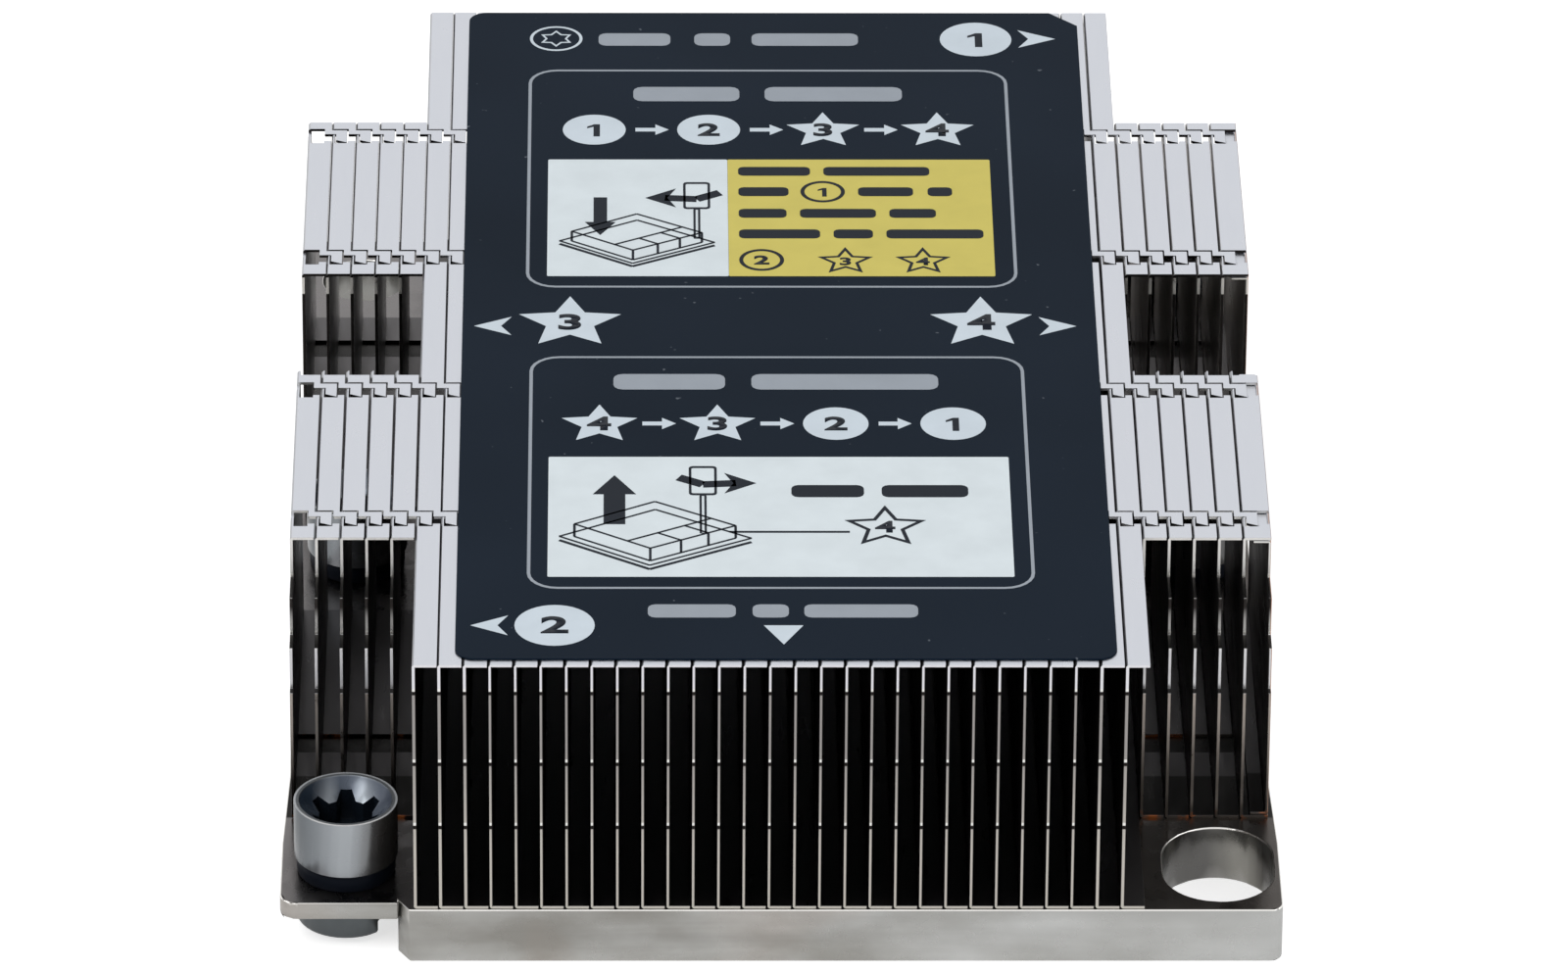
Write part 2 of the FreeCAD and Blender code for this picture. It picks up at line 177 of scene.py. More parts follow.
class Surface(Graph):
    """One material with its shader and short calls for what varies over it."""

    def __init__(self, name, color, metallic=0.0, roughness=0.5, specular=0.5):
        self.material = bpy.data.materials.new(name)
        super().__init__(self.material)
        self.shader = self.tree.nodes["Principled BSDF"]
        self.shader.inputs["Base Color"].default_value = color
        self.shader.inputs["Metallic"].default_value = metallic
        self.shader.inputs["Roughness"].default_value = roughness
        self.shader.inputs["Specular IOR Level"].default_value = specular
        self.place = self.node("ShaderNodeTexCoord").outputs["Object"]

    def parts(self, vector):
        """The three components of a vector output."""
        made = self.node("ShaderNodeSeparateXYZ")
        self.link(vector, made.inputs[0])
        return made.outputs

    def coordinates(self):
        """X, Y and Z in the heatsink's frame, in metres."""
        return self.parts(self.place)

    def normals(self):
        """X, Y and Z of the direction that the surface faces."""
        return self.parts(self.node("ShaderNodeNewGeometry").outputs["Normal"])

    def noise(self, scale, detail=3.0, stretch=(1, 1, 1)):
        """Noise over the object's own coordinates, in features per metre."""
        mapping = self.node("ShaderNodeMapping")
        mapping.inputs["Scale"].default_value = stretch
        self.link(self.place, mapping.inputs["Vector"])
        made = self.node("ShaderNodeTexNoise")
        made.inputs["Scale"].default_value = scale
        made.inputs["Detail"].default_value = detail
        self.link(mapping.outputs["Vector"], made.inputs["Vector"])
        return made.outputs["Fac"]

    def mix(self, factor, first, second):
        """Colour between two colours or colour outputs."""
        made = self.node("ShaderNodeMix", data_type="RGBA")
        self.link(factor, made.inputs[0])
        for socket, value in ((made.inputs[6], first), (made.inputs[7], second)):
            if isinstance(value, tuple):
                socket.default_value = value
            else:
                self.link(value, socket)
        return made.outputs[2]

    def color(self, output):
        self.link(output, self.shader.inputs["Base Color"])

    def uneven_roughness(self, noise, smooth, dull):
        """Roughness that wanders between two values."""
        self.link(self.ramp(noise, 0.3, 0.7, smooth, dull), self.shader.inputs["Roughness"])

    def bump(self, height, distance, strength):
        made = self.node("ShaderNodeBump")
        made.inputs["Strength"].default_value = strength
        made.inputs["Distance"].default_value = distance
        self.link(height, made.inputs["Height"])
        self.link(made.outputs["Normal"], self.shader.inputs["Normal"])


def front_wing_edge(surface):
    """Front edges of the front wings: a thin painted highlight line that breaks at each step,
    with painted shade beside it, lower down and at the left foot.
    """
    x, y, z = surface.coordinates()
    # painted highlight on faces that look straight ahead, painted shade on those beside them
    core = surface.fall(surface.normals()[1], -0.99, -0.93)
    # painted shade lower down, deepest at the foot of the left wing
    foot = surface.mix(surface.rise(x, -5 * MM, 5 * MM), srgb(36, 33, 32), srgb(112, 106, 101))
    lower = surface.mix(surface.rise(z, 8.0 * MM, 13.0 * MM), foot, srgb(158, 150, 143))
    edge = surface.mix(core, srgb(62, 58, 56), lower)
    edge = surface.mix(surface.rise(z, LOWER_STEP, LOWER_STEP + 0.2 * MM), edge, srgb(206, 206, 208))
    fade = surface.mix(surface.rise(z, 19.9 * MM, 22.2 * MM), EDGE_BRIGHT, srgb(46, 43, 42))
    edge = surface.mix(surface.rise(z, MIDDLE_STEP, MIDDLE_STEP + 0.2 * MM), edge, fade)
    upper = surface.mix(core, srgb(70, 67, 65), EDGE_BRIGHT)
    edge = surface.mix(surface.rise(z, UPPER_STEP, UPPER_STEP + 0.1 * MM), edge, upper)
    # a painted glint at each knot
    for knot in WING_KNOTS:
        edge = surface.mix(surface.near(z, knot, KNOT_REACH), edge, srgb(240, 238, 232))
    specks = surface.rise(surface.noise(700), 0.5, 0.6)
    copper_glints = surface.times(surface.fall(z, BASE_TOP + 0.2 * MM, BASE_TOP + 0.8 * MM), specks)
    return surface.mix(copper_glints, edge, srgb(206, 122, 70))


def wing_edge(surface):
    """Front edges of both rows of wings; the rear ones are in painted shade, with a painted highlight
    near the top.
    """
    y, z = surface.coordinates()[1:]
    near_top = surface.near(z, FIN_TOP - 1.1 * MM, 0.75 * MM)
    rear_edge = surface.mix(near_top, srgb(44, 41, 40), srgb(238, 235, 228))
    return surface.mix(surface.rise(y, 0.0, 0.2 * MM), front_wing_edge(surface), rear_edge)


def middle_edge(surface):
    """Front edges of the full-length fins: a painted highlight line whose brightness changes with height,
    with a dark mark and a painted glint at each knot.
    """
    z = surface.coordinates()[2]
    edge = surface.mix(surface.rise(z, 10.0 * MM, 19.0 * MM), srgb(184, 180, 172), srgb(150, 147, 144))
    above_knots = surface.rise(z, MIDDLE_KNOTS[0] - 0.1 * MM, MIDDLE_KNOTS[0] + 0.1 * MM)
    edge = surface.mix(above_knots, edge, srgb(214, 214, 218))
    for knot in MIDDLE_KNOTS:
        edge = surface.mix(surface.near(z, knot + 0.3 * MM, 0.13 * MM), edge, srgb(225, 224, 220))
        edge = surface.mix(surface.near(z, knot, KNOT_REACH), edge, srgb(34, 31, 30))
    return edge


def fin_material(name, on_wing):
    """Bright folded sheet with tarnish near its foot, with painted shade on the walls and in the troughs."""
    surface = Surface(name, SHEET, metallic=1.0, roughness=0.32)
    x, y, z = surface.coordinates()
    across, along, up = surface.normals()
    patches = surface.rise(surface.noise(260, 4), 0.48, 0.66, 0.5)
    tarnish = surface.times(surface.fall(z, BASE_TOP, BASE_TOP + 3.8 * MM), patches)
    color = surface.mix(tarnish, SHEET, srgb(164, 132, 112))

    # painted shade on the walls, lighter in the wings than between them
    wall = surface.rise(surface.math("ABSOLUTE", across), 0.55, 0.95)
    color = surface.mix(wall, color, srgb(112, 109, 108) if on_wing else srgb(84, 80, 78))
    if on_wing:
        # the rear wings' inner walls, which get light from the pocket
        inner = surface.times(surface.fall(surface.math("ABSOLUTE", x), *STACK_SIDE_BAND),
                              surface.rise(y, 0.0, 0.2 * MM))
        lit = surface.mix(surface.rise(x, -20 * MM, 20 * MM), srgb(190, 189, 189), srgb(196, 192, 188))
        color = surface.mix(surface.times(wall, inner), color, lit)

    level = surface.rise(up, 0.6, 0.9)
    # painted shade in the troughs: the level faces below the flanges
    trough = surface.times(surface.fall(z, FIN_TOP - 1.8 * MM, FIN_TOP - 0.5 * MM), level)
    color = surface.mix(trough, color, srgb(88, 86, 87))
    # painted shade, darker still, on the level ledges of the wings' stepped front ends
    if on_wing:
        stepped_end = surface.fall(y, WING_FLANGE_FRONT_Y - 0.1 * MM, WING_FLANGE_FRONT_Y + 0.1 * MM)
        steps = surface.times(level, stepped_end, surface.fall(z, FIN_TOP - 1.7 * MM, FIN_TOP - 0.7 * MM))
        color = surface.mix(steps, color, srgb(38, 36, 35))
    front = surface.fall(along, -0.75, -0.5)
    color = surface.mix(front, color, wing_edge(surface) if on_wing else middle_edge(surface))

    # painted shade on the broken edges on a fin's right, beside its front edge and along its flange
    shade = surface.times(surface.rise(across, 0.2, 0.5, 0.85), surface.fall(along, -0.5, -0.3))
    color = surface.mix(shade, color, srgb(40, 38, 38))
    lip = surface.times(surface.rise(across, 0.25, 0.4),
                        surface.rise(z, FIN_TOP - 0.3 * MM, FIN_TOP - 0.2 * MM, 0.9))
    color = surface.mix(lip, color, srgb(30, 30, 32))

    # a painted warm glint on the right outermost corners of the stack
    corner = surface.times(surface.rise(across, 0.3, 0.5, 0.8), surface.fall(across, 0.93, 0.98))
    outermost = surface.times(corner, surface.rise(x, *STACK_SIDE_BAND))
    surface.color(surface.mix(outermost, color, srgb(190, 140, 108)))
    surface.uneven_roughness(surface.noise(900, 3, (1, 0.15, 1)), 0.26, 0.4)
    return surface.material


def slot_wall(surface, across):
    """Painted light and shade on the guide slot's wall, by the way it faces across the base plate."""
    wall = surface.mix(surface.rise(across, -0.35, 0.15), srgb(154, 152, 146), srgb(113, 112, 110))
    return surface.mix(surface.fall(across, -0.85, -0.6), wall, srgb(74, 71, 68))


def base_material():
    """Satin nickel plating with soft mottling, painted light and shade, and dark painted shade under the
    fins.
    """
    surface = Surface("nickel_plate", srgb(170, 169, 166), metallic=1.0, roughness=0.3)
    x, y = surface.coordinates()[:2]
    normals = surface.normals()
    across, up = normals[0], normals[2]
    cloud = surface.rise(surface.noise(90, 4, (1, 1, 2)), 0.35, 0.68)
    color = surface.mix(cloud, srgb(146, 144, 139), srgb(184, 184, 182))
    color = surface.mix(surface.rise(surface.noise(60), 0.55, 0.75, 0.3), color, srgb(168, 140, 120))
    brushed = surface.rise(surface.noise(700, 4, (0.05, 1, 1)), 0.35, 0.7, 0.35)
    color = surface.mix(brushed, color, srgb(122, 120, 116))
    # painted light: paler towards the right
    color = surface.mix(surface.rise(x, -5 * MM, 39 * MM, 0.45), color, srgb(198, 200, 200))

    # a painted highlight on the broken edges that face upwards
    broken_edge = surface.times(surface.rise(up, 0.2, 0.4), surface.fall(up, 0.85, 0.95))
    color = surface.mix(broken_edge, color, srgb(236, 234, 230))
    level = surface.rise(up, 0.93, 0.98)
    # painted shade on the level tops, darker towards the right
    tops = surface.mix(surface.rise(x, -30 * MM, 25 * MM), srgb(122, 119, 119), srgb(86, 82, 79))
    color = surface.mix(level, color, tops)

    # painted light and shade on the guide slot's wall
    in_slot = surface.times(surface.near(x, SLOT_X, SLOT_REACH_X), surface.near(y, SLOT_Y, SLOT_REACH_Y),
                            surface.fall(surface.math("ABSOLUTE", up), 0.1, 0.3))
    color = surface.mix(in_slot, color, slot_wall(surface, across))
    # dark painted shade on the top between the wings' fins
    along = surface.math("ABSOLUTE", y)
    past_inner = surface.rise(along, WING_INNER_Y - 0.05 * MM, WING_INNER_Y + 0.15 * MM)
    short_of_outer = surface.fall(along, WING_OUTER_Y - 0.15 * MM, WING_OUTER_Y + 0.05 * MM)
    shade_under_wings = surface.times(level, past_inner, short_of_outer)
    surface.color(surface.mix(shade_under_wings, color, srgb(26, 24, 23)))
    surface.uneven_roughness(surface.noise(400, 4), 0.2, 0.36)
    surface.bump(surface.noise(1500), 0.02 * MM, 0.25)
    return surface.material


def nut_material(name):
    """Chrome of one nut with painted reflections and painted shade: dark inside the mouth and the drive,
    bright on the rim.
    """
    low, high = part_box(name)
    surface = Surface("chrome_" + name, srgb(176, 180, 186), metallic=1.0, roughness=0.2)
    x, y, z = surface.coordinates()
    normals = surface.normals()
    across, up = normals[0], normals[2]
    # painted reflection on the side: pale in the middle, darker where it turns left or right
    color = surface.mix(surface.rise(across, -1.0, -0.1), srgb(84, 89, 93), srgb(154, 158, 162))
    color = surface.mix(surface.rise(across, 0.1, 0.7), color, srgb(84, 82, 80))

    # places from the nut's own axis and top
    out_x = surface.math("SUBTRACT", x, (low.x + high.x) / 2)
    out_y = surface.math("SUBTRACT", y, (low.y + high.y) / 2)
    square = surface.math("ADD", surface.times(out_x, out_x), surface.times(out_y, out_y))
    radius = surface.math("SQRT", square)
    in_head = surface.rise(z, high.z - 4.5 * MM, high.z - 4.3 * MM)

    # the mouth in a dark painted reflection, with a pale painted reflection at the back on each side
    # of the drive
    mouth = surface.mix(surface.rise(out_x, -3.2 * MM, 2.6 * MM), srgb(46, 58, 72), srgb(84, 92, 106))
    wide = surface.math("ABSOLUTE", out_x)
    reflection = surface.times(surface.rise(wide, 0.5 * MM, 1.3 * MM), surface.fall(wide, 1.5 * MM, 2.7 * MM),
                               surface.rise(out_y, 0.2 * MM, 1.4 * MM),
                               surface.fall(radius, 2.2 * MM, 3.5 * MM, 0.25))
    mouth = surface.mix(reflection, mouth, srgb(176, 184, 192))
    in_mouth = surface.times(surface.fall(radius, 3.55 * MM, 3.75 * MM), in_head)
    color = surface.mix(in_mouth, color, mouth)

    # painted shade in the drive
    drive = surface.either(surface.fall(up, 0.2, 0.45), surface.fall(z, high.z - 2.2 * MM, high.z - 1.8 * MM))
    drive = surface.times(drive, surface.fall(radius, 2.9 * MM, 3.0 * MM), in_head)
    color = surface.mix(drive, color, srgb(24, 31, 40))

    # a painted highlight on the rim: white at the front, grey at its outer edge
    rim = surface.times(surface.rise(radius, 3.6 * MM, 3.7 * MM), surface.rise(up, 0.3, 0.5), in_head)
    shine = surface.mix(surface.fall(out_y, -3.4 * MM, -1.8 * MM), srgb(196, 200, 204), WHITE)
    shine = surface.mix(surface.fall(radius, 3.84 * MM, 3.92 * MM), shine, srgb(108, 112, 116))
    surface.color(surface.mix(rim, color, shine))
    soft = surface.either(rim, in_mouth, surface.rise(across, 0.1, 0.7, 0.5))
    surface.link(surface.fall(soft, 0.0, 1.0, 0.3), surface.shader.inputs["Metallic"])
    surface.uneven_roughness(surface.noise(250, 2), 0.24, 0.3)
    return surface.material


def plain_material(name, color, smooth, dull, **gloss):
    """One colour with a slightly uneven roughness."""
    surface = Surface(name, color, **gloss)
    surface.uneven_roughness(surface.noise(900), smooth, dull)
    return surface.material


def label_material():
    """Dark printed film with a few specks of dust."""
    surface = Surface("label_film", srgb(38, 45, 55), roughness=0.42, specular=0.03)
    film = surface.mix(surface.rise(surface.noise(40, 2), 0.3, 0.7), srgb(17, 29, 42), srgb(23, 35, 49))
    dust = surface.rise(surface.noise(1400, 1), 0.79, 0.83, 0.4)
    surface.color(surface.mix(dust, film, srgb(150, 158, 168)))
    return surface.material


def print_material(name, color):
    """One printed ink, slightly uneven."""
    surface = Surface(name, color, roughness=0.45, specular=0.08)
    worn = tuple(channel * 0.93 for channel in color[:3]) + (1.0,)
    surface.color(surface.mix(surface.rise(surface.noise(300), 0.3, 0.7), color, worn))
    return surface.material


MATERIALS = {
    "wing_fin": fin_material("fin_sheet", on_wing=True),
    "middle_fin": fin_material("middle_fin_sheet", on_wing=False),
    "base": base_material(),
    "collar": plain_material("black_collar", srgb(15, 19, 27), 0.36, 0.5, specular=0.04),
    "retainer": plain_material("dark_steel", srgb(87, 91, 93), 0.32, 0.48, metallic=1.0, roughness=0.4),
    "label": label_material(),
    "pale": print_material("ink_pale", srgb(226, 238, 248)),
    "white": print_material("ink_white", srgb(240, 250, 255)),
    "grey": print_material("ink_grey", srgb(170, 178, 188)),
    "yellow": print_material("ink_yellow", srgb(228, 214, 114)),
    "dark": print_material("ink_dark", srgb(26, 33, 43)),
}


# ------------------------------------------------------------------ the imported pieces
def dress(name, material, bevel_width, segments=2, clamp=True):
    """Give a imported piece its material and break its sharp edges."""
    piece = nodes[name]
    piece.data.materials.clear()
    piece.data.materials.append(MATERIALS[material])
    weld = piece.modifiers.new("weld", "WELD")
    weld.merge_threshold = 0.002 * MM
    bevel = piece.modifiers.new("bevel", "BEVEL")
    bevel.width = bevel_width
    bevel.segments = segments
    bevel.limit_method = "ANGLE"
    bevel.angle_limit = math.radians(35)
    bevel.use_clamp_overlap = clamp
    bevel.harden_normals = True


def narrow_gap(name):
    """Bring a fin's flange edge nearer to the next wall, so that no daylight shows between them."""
    piece = nodes[name]
    edge_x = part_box(name)[0].x + FLANGE_REACH
    edge = [vertex.index for vertex in piece.data.vertices
            if abs(vertex.co.x - edge_x) < 0.01 * MM and vertex.co.z > 20 * MM]
    piece.vertex_groups.new(name="flange_edge").add(edge, 1.0, "REPLACE")
    shift = piece.modifiers.new("narrow_gap", "DISPLACE")
    shift.direction = "X"
    shift.mid_level = 0.0
    shift.strength = 0.055 * MM
    shift.vertex_group = "flange_edge"


def dress_packed_pieces():
    """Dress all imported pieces, with narrower gaps at the rear left, where daylight would show."""
    for name in [f"fin_0{number}_rear" for number in range(1, 6)] + ["fin_06"]:
        narrow_gap(name)
    for name in nodes:
        if "fin_" in name:
            on_wing = name.endswith(("_front", "_rear"))
            dress(name, "wing_fin" if on_wing else "middle_fin", 0.09 * MM)
        elif name == "base_plate":
            dress(name, "base", 0.14 * MM, 3, clamp=False)
        elif name == "label":
            dress(name, "label", 0.04 * MM, 1)
        elif name == "nut_collars":
            dress(name, "collar", 0.25 * MM)
        elif name == "nut_retainers":
            dress(name, "retainer", 0.3 * MM)
        else:
            MATERIALS[name] = nut_material(name)
            dress(name, name, 0.16 * MM, 3)


# ------------------------------------------------------------------ print on the label
# Places and sizes of the print are in millimetres from the heatsink's middle.
INK = 0.02 * MM
DISC_RADIUS = 2.6
STAR_RADIUS = 3.15
FRAME_LINE = 0.27
FRAME_RADIUS = 2.4


def rounded_box(left, front, right, back, radius, steps=6):
    """Outline of a rectangle with rounded corners."""
    centres = ((right - radius, back - radius, 0), (left + radius, back - radius, 90),
               (left + radius, front + radius, 180), (right - radius, front + radius, 270))
    points = []
    for x, y, start in centres:
        for step in range(steps + 1):
            angle = math.radians(start + 90 * step / steps)
            points.append((x + radius * math.cos(angle), y + radius * math.sin(angle)))
    return points


def disc(x, y, radius, steps=40):
    return [(x + radius * math.cos(math.tau * i / steps), y + radius * math.sin(math.tau * i / steps))
            for i in range(steps)]


def star(x, y, radius, points=5, waist=0.47):
    """Star with one tip towards the back edge."""
    outline = []
    for i in range(2 * points):
        reach = radius if i % 2 == 0 else radius * waist
        angle = math.pi / 2 + math.pi * i / points
        outline.append((x + reach * math.cos(angle), y + reach * math.sin(angle)))
    return outline


def pointer(tip_x, y, length, half_height):
    """Notched arrow head along X; a negative length points left."""
    return [(tip_x, y), (tip_x - length, y + half_height), (tip_x - 0.72 * length, y),
            (tip_x - length, y - half_height)]


def thin_arrow(left, right, y):
    """Plain arrow to the right: shaft and head."""
    half_shaft, half_head, head = 0.3, 0.9, 1.1
    neck = right - head
    return [(left, y + half_shaft), (neck, y + half_shaft), (neck, y + half_head), (right, y),
            (neck, y - half_head), (neck, y - half_shaft), (left, y - half_shaft)]


def thick_arrow(x, tail, tip, half_shaft, half_head, head):
    """Block arrow along Y from tail to tip."""
    neck = tip - math.copysign(head, tip - tail)
    return [(x - half_shaft, tail), (x + half_shaft, tail), (x + half_shaft, neck), (x + half_head, neck),
            (x, tip), (x - half_head, neck), (x - half_shaft, neck)]


def stroke(start, end, width):
    """Straight line as a four-sided outline."""
    first, last = Vector(start), Vector(end)
    along = last - first
    across = Vector((-along.y, along.x)).normalized() * width / 2
    return [tuple(first + across), tuple(first - across), tuple(last - across), tuple(last + across)]


def words(y, spans, height):
    """Bars that stand where words are printed."""
    front, back = y - height / 2, y + height / 2
    return [rounded_box(left, front, right, back, height * 0.3, 3) for left, right in spans]


class Ink:
    """Flat shapes of one ink, gathered into one thin piece."""

    def __init__(self, name, layer=1):
        self.name = name
        self.top = LABEL_TOP + layer * INK
        self.mesh = bmesh.new()

    def corners(self, outline):
        return [self.mesh.verts.new((x * MM, y * MM, self.top)) for x, y in outline]

    def fill(self, *outlines):
        for outline in outlines:
            self.mesh.faces.new(self.corners(outline))

    def ring(self, outer, inner):
        """Band between two outlines with the same number of points."""
        outside, inside = self.corners(outer), self.corners(inner)
        for i in range(len(outside)):
            j = (i + 1) % len(outside)
            self.mesh.faces.new((outside[i], outside[j], inside[j], inside[i]))

    def number(self, mark, x, y, size):
        """One plain number, centred; the one is drawn from listed points, so that it has a flag and no foot.
        """
        if mark == "1":
            flagged = ((-0.02, -1), (0.16, -1), (0.16, 1), (0.0, 1), (-0.2, 0.62), (-0.2, 0.36), (-0.02, 0.6))
            self.fill([(x + across * size, y + up * 0.36 * size) for across, up in flagged])
        else:
            self.digit(mark, x, y, size)

    def digit(self, text, x, y, size):
        """A number from the built-in font, made bolder and wider."""
        curve = bpy.data.curves.new("digit", "FONT")
        curve.body = text
        curve.size = size * MM
        curve.align_x = "CENTER"
        curve.align_y = "CENTER"
        curve.offset = 0.035 * size * MM
        holder = bpy.data.objects.new("digit", curve)
        bpy.context.scene.collection.objects.link(holder)
        bpy.context.view_layer.update()
        shape = bpy.data.meshes.new_from_object(holder.evaluated_get(bpy.context.evaluated_depsgraph_get()))
        wider = Matrix.Diagonal((1.25, 1.0, 1.0, 1.0))
        shape.transform(Matrix.Translation((x * MM, y * MM, self.top)) @ wider)
        self.mesh.from_mesh(shape)
        bpy.data.objects.remove(holder)
        bpy.data.meshes.remove(shape)

    def done(self):
        """Give the shapes a thickness and add them to the label."""
        for face in self.mesh.faces:
            face.normal_update()
            if face.normal.z < 0:
                face.normal_flip()
        mesh = bpy.data.meshes.new("label_print_" + self.name)
        self.mesh.to_mesh(mesh)
        self.mesh.free()
        mesh.materials.append(MATERIALS[self.name])
        piece = bpy.data.objects.new("label_print_" + self.name, mesh)
        bpy.context.scene.collection.objects.link(piece)
        solid = piece.modifiers.new("thickness", "SOLIDIFY")
        solid.thickness = INK * 0.9
        solid.offset = -1.0
        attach(piece, BODY)


def print_step_row(pale, dark, y, marks, xs):
    """Row of numbered discs and stars joined by arrows."""
    for mark, x in zip(marks, xs):
        pale.fill(disc(x, y, DISC_RADIUS) if mark in "12" else star(x, y - 0.1, STAR_RADIUS))
        dark.number(mark, x, y - 0.15, 2.9)
    for left, right in zip(xs, xs[1:]):
        pale.fill(thin_arrow(left + 3.4, right - 3.3, y))


def print_frame(ink, left, front, right, back):
    """Thin line round a group, with rounded corners."""
    line = FRAME_LINE
    ink.ring(rounded_box(left, front, right, back, FRAME_RADIUS),
             rounded_box(left + line, front + line, right - line, back - line, FRAME_RADIUS - line))


def print_plate(dark, x, y, width):
    """Line drawing of a plate with a block on it, seen from a corner; its left corner is at x, y."""
    left, front, right, back = (0.0, 0.0), (0.47, -0.3), (1.0, -0.02), (0.5, 0.28)
    centre = Vector((0.49, -0.01))
    block_share, block_height = 0.84, 0.13

    def line(start, end, wide=0.2):
        ends = [(x + across * width, y + up * width) for across, up in (start, end)]
        dark.fill(stroke(*ends, wide))

    def lower(point, drop):
        return point[0], point[1] - drop

    def between(start, end, share):
        return start[0] + (end[0] - start[0]) * share, start[1] + (end[1] - start[1]) * share

    for start, end in ((left, front), (front, right), (right, back), (back, left)):
        line(start, end)
    for start, end in ((left, front), (front, right)):
        line(lower(start, 0.04), lower(end, 0.04), 0.3)
    foot = [tuple(centre + (Vector(corner) - centre) * block_share) for corner in (left, front, right, back)]
    top = [lower(corner, -block_height) for corner in foot]
    for i in range(4):
        line(top[i], top[(i + 1) % 4])
    for i in range(3):
        line(top[i], foot[i])
    line(foot[0], foot[1])
    line(foot[1], foot[2])
    for share in (0.36, 0.68):
        edge = between(top[1], top[2], share)
        line(edge, lower(edge, block_height))
        line(edge, between(edge, between(top[0], top[3], share), 0.3))
    line(between(top[1], top[0], 0.3), between(top[2], top[3], 0.3))


def print_driver(dark, x, y, shaft, turn):
    """Outline of a driver that stands at x, y, with an arrow across its grip; turn is 1 or -1."""
    grip_low, grip_high = y + shaft, y + shaft + 4.6
    dark.ring(rounded_box(x - 0.28, y, x + 0.28, grip_low, 0.1, 2),
              rounded_box(x - 0.1, y + 0.1, x + 0.1, grip_low - 0.1, 0.02, 2))
    dark.ring(rounded_box(x - 1.1, grip_low, x + 1.1, grip_high, 0.3, 2),
              rounded_box(x - 0.9, grip_low + 0.3, x + 0.9, grip_high - 0.3, 0.15, 2))
    arrow_y = grip_low + 1.7
    dark.fill(stroke((x - 1.9 * turn, arrow_y + 1.1), (x, arrow_y), 1.0),
              stroke((x, arrow_y), (x + 2.6 * turn, arrow_y + 0.2), 1.0),
              pointer(x + 4.2 * turn, arrow_y + 0.2, 2.5 * turn, 1.6))


def print_picture(dark, x, y, width, driver_share, turn):
    """The plate, and a driver at a share of its width."""
    print_plate(dark, x, y, width)
    print_driver(dark, x + driver_share * width, y + 0.03 * width, 0.4 * width, turn)


def print_back_strip(pale, grey, dark):
    """The drive's symbol, words and the first number."""
    x, y = -17.95, 48.85
    pale.ring(disc(x, y, 2.2), disc(x, y, 1.95))
    pale.ring(star(x, y, 1.45, points=6, waist=0.62), star(x, y, 1.15, points=6, waist=0.62))
    grey.fill(*words(48.7, ((-14.4, -8.4), (-6.4, -3.4), (-1.6, 7.3)), 2.2))
    pale.fill(disc(17.15, 48.75, 3.0), pointer(23.8, 48.85, 3.1, 1.55))
    dark.number("1", 17.15, 48.6, 3.4)


def print_back_frame(pale, grey, dark, white, yellow):
    """The order of fitting, its picture and a yellow panel of words."""
    print_frame(grey, -20.2, 5.8, 19.6, 43.3)
    grey.fill(*words(39.0, ((-11.5, -2.7), (-0.6, 10.8)), 2.5))
    print_step_row(pale, dark, 32.75, "1234", (-14.73, -5.28, 4.17, 13.63))
    white.fill(rounded_box(-18.5, 7.7, -3.78, 27.55, 0.1, 1))
    yellow.fill(rounded_box(-3.76, 7.7, 17.8, 27.55, 0.1, 1))
    dark.fill(thick_arrow(-14.2, 21.0, 14.6, half_shaft=0.55, half_head=1.25, head=2.2))
    print_picture(dark, -17.5, 13.6, 12.6, 0.887, -1)
    for y, spans in ((25.5, ((-2.9, 3.0), (4.1, 12.8))),
                     (22.0, ((-2.9, 1.2), (6.9, 11.4), (12.6, 14.6))),
                     (18.3, ((-2.9, 1.0), (2.1, 8.3), (9.4, 13.2))),
                     (14.8, ((-2.9, 3.7), (4.8, 8.0), (9.1, 17.0)))):
        dark.fill(*words(y, spans, 1.5))
    for x, y in ((4.0, 22.0), (-1.1, 10.4)):
        dark.ring(disc(x, y, 1.82), disc(x, y, 1.5))
    dark.number("1", 4.0, 21.9, 2.0)
    dark.number("2", -1.1, 10.3, 2.0)
    for mark, x in (("3", 5.7), ("4", 12.0)):
        dark.ring(star(x, 10.2, 2.35), star(x, 10.2, 1.75))
        dark.number(mark, x, 10.1, 1.7)


def print_middle_strip(pale, dark):
    """The two numbered stars beside the middle nuts."""
    for mark, x, tip, length in (("3", -16.6, -24.3, -3.0), ("4", 16.5, 24.1, 3.0)):
        pale.fill(star(x, 0.0, 4.3), pointer(tip, -0.6, length, 1.5))
        dark.number(mark, x, -0.1, 3.4)


def print_front_frame(pale, grey, dark, white):
    """The order of removal and its picture."""
    print_frame(grey, -19.8, -42.5, 19.7, -5.6)
    grey.fill(*words(-9.75, ((-13.1, -4.2), (-2.1, 12.8)), 2.5))
    print_step_row(pale, dark, -16.5, "4321", (-14.2, -4.84, 4.54, 13.85))
    white.fill(rounded_box(-18.2, -40.65, 18.1, -21.85, 0.1, 1))
    dark.fill(thick_arrow(-13.0, -32.5, -24.8, half_shaft=0.85, half_head=1.7, head=3.0))
    print_picture(dark, -17.3, -34.4, 15.0, 0.75, 1)
    dark.fill(*words(-27.3, ((0.9, 6.6), (8.0, 14.8)), 1.9), stroke((-4.0, -33.7), (5.4, -33.7), 0.28))
    dark.ring(star(8.2, -32.9, 3.35), star(8.2, -32.9, 2.6))
    dark.number("4", 8.2, -33.0, 2.4)


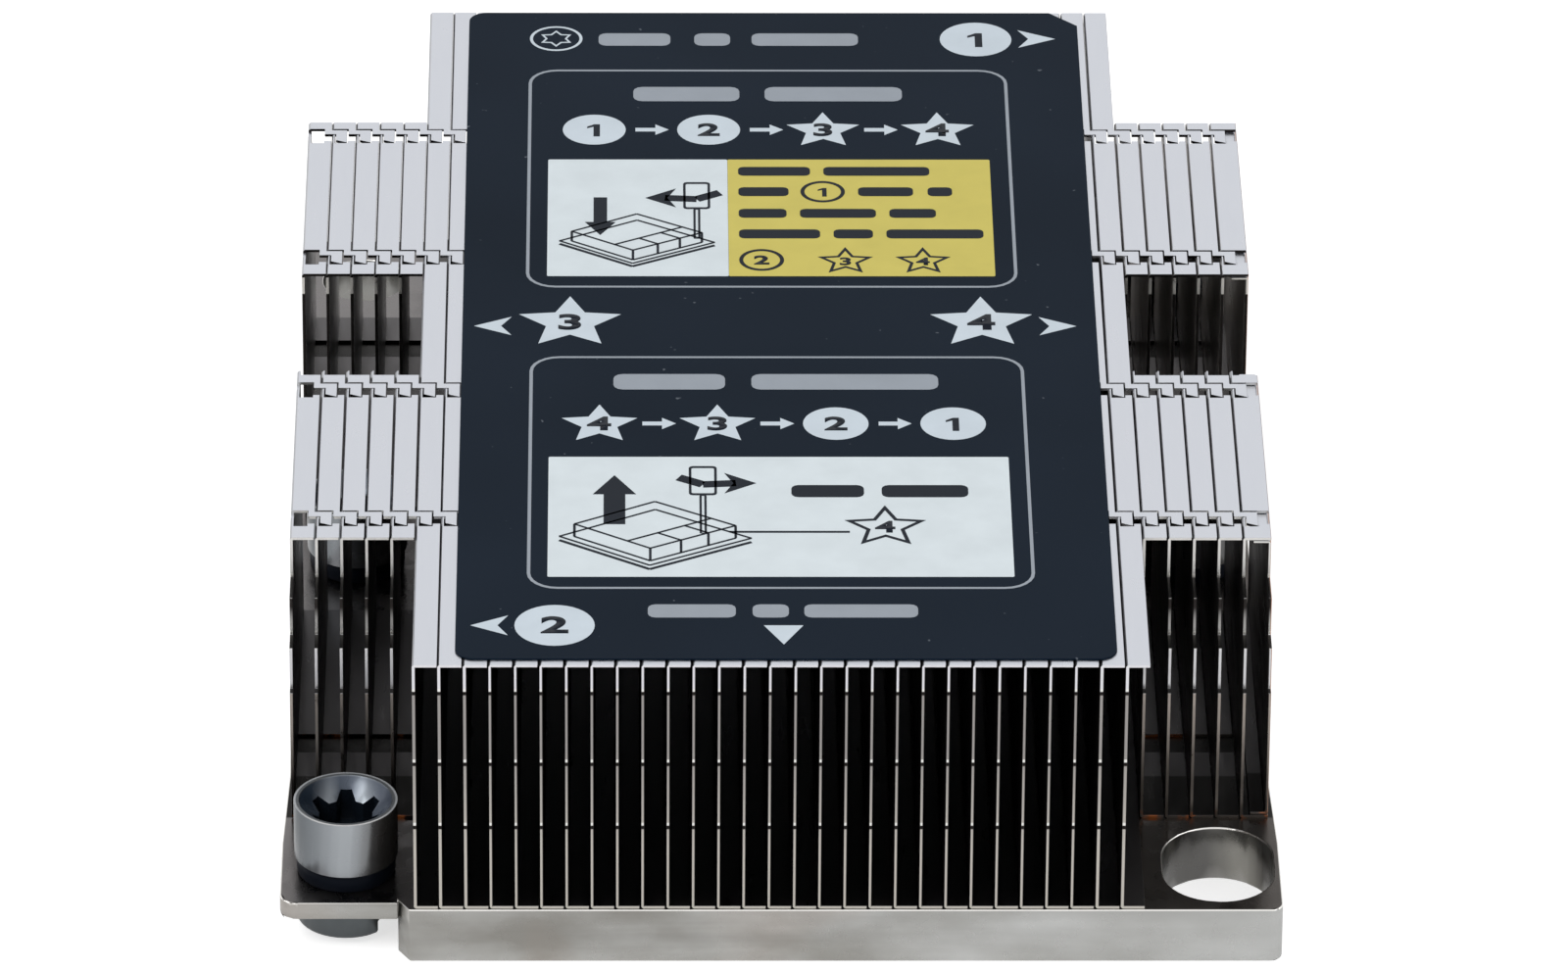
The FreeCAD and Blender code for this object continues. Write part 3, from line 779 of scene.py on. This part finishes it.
def print_front_strip(pale, grey, dark):
    """The second number, words and the triangle that points to the front."""
    pale.fill(disc(-17.6, -48.1, 3.1), pointer(-24.1, -48.1, -2.9, 1.5),
              [(-1.45, -48.1), (0.07, -51.0), (1.6, -48.1)])
    grey.fill(*words(-45.9, ((-10.4, -3.6), (-2.3, 0.5), (1.7, 10.5)), 2.0))
    dark.number("2", -17.6, -48.2, 3.4)


def print_label():
    pale, white, grey, yellow = (Ink(name) for name in ("pale", "white", "grey", "yellow"))
    dark = Ink("dark", layer=2)
    print_back_strip(pale, grey, dark)
    print_back_frame(pale, grey, dark, white, yellow)
    print_middle_strip(pale, dark)
    print_front_frame(pale, grey, dark, white)
    print_front_strip(pale, grey, dark)
    for ink in (pale, white, grey, yellow, dark):
        ink.done()


# ------------------------------------------------------------------ floor, light and camera
def floor():
    """Plain pale floor that stays white to the camera but keeps the shadow."""
    bpy.ops.mesh.primitive_plane_add(size=8.0, location=(0, 0, 0))
    plane = bpy.context.object
    plane.name = "floor"
    surface = Surface("pale_floor", (0.8, 0.8, 0.8, 1.0), roughness=0.9)
    surface.shader.inputs["Emission Color"].default_value = WHITE
    to_camera = surface.node("ShaderNodeLightPath").outputs["Is Camera Ray"]
    whiter = surface.times(to_camera, 0.2)
    glow = surface.math("MULTIPLY_ADD", surface.backdrop_rays(), 0.45, whiter)
    surface.link(glow, surface.shader.inputs["Emission Strength"])
    plane.data.materials.append(surface.material)


def world():
    """Even ambient light, with a white background for what sees it."""
    sky = bpy.data.worlds.new("studio")
    bpy.context.scene.world = sky
    graph = Graph(sky)
    background = graph.tree.nodes["Background"]
    background.inputs["Color"].default_value = WHITE
    graph.link(graph.ramp(graph.backdrop_rays(), 0.0, 1.0, 0.5, 1.0), background.inputs["Strength"])


def area_light(name, place, size, power):
    """Square soft light aimed at the heatsink."""
    lamp = bpy.data.lights.new(name, "AREA")
    lamp.size = size
    lamp.energy = power
    holder = bpy.data.objects.new(name, lamp)
    bpy.context.scene.collection.objects.link(holder)
    holder.location = place
    holder.rotation_euler = (CAMERA_TARGET - Vector(place)).to_track_quat("-Z", "Y").to_euler()


def camera():
    """Camera turned about its target by yaw and pitch, then rolled about its own axis."""
    level_reach = math.cos(CAMERA_PITCH)
    forward = Vector((math.sin(CAMERA_YAW) * level_reach, math.cos(CAMERA_YAW) * level_reach,
                      -math.sin(CAMERA_PITCH)))
    level_right = forward.cross(Vector((0, 0, 1))).normalized()
    level_up = level_right.cross(forward)
    right = level_right * math.cos(CAMERA_ROLL) + level_up * math.sin(CAMERA_ROLL)
    up = right.cross(forward)
    data = bpy.data.cameras.new("camera")
    data.lens = CAMERA_LENS
    data.sensor_width = CAMERA_SENSOR
    data.clip_start = 0.01
    data.clip_end = 20.0
    holder = bpy.data.objects.new("camera", data)
    bpy.context.scene.collection.objects.link(holder)
    rotation = Matrix((right, up, -forward)).transposed().to_4x4()
    holder.matrix_world = Matrix.Translation(CAMERA_TARGET - forward * CAMERA_DISTANCE) @ rotation
    bpy.context.scene.camera = holder


dress_packed_pieces()
print_label()
floor()
world()
for lamp in LAMPS:
    area_light(*lamp)
camera()
bpy.context.scene.view_settings.view_transform = "Standard"
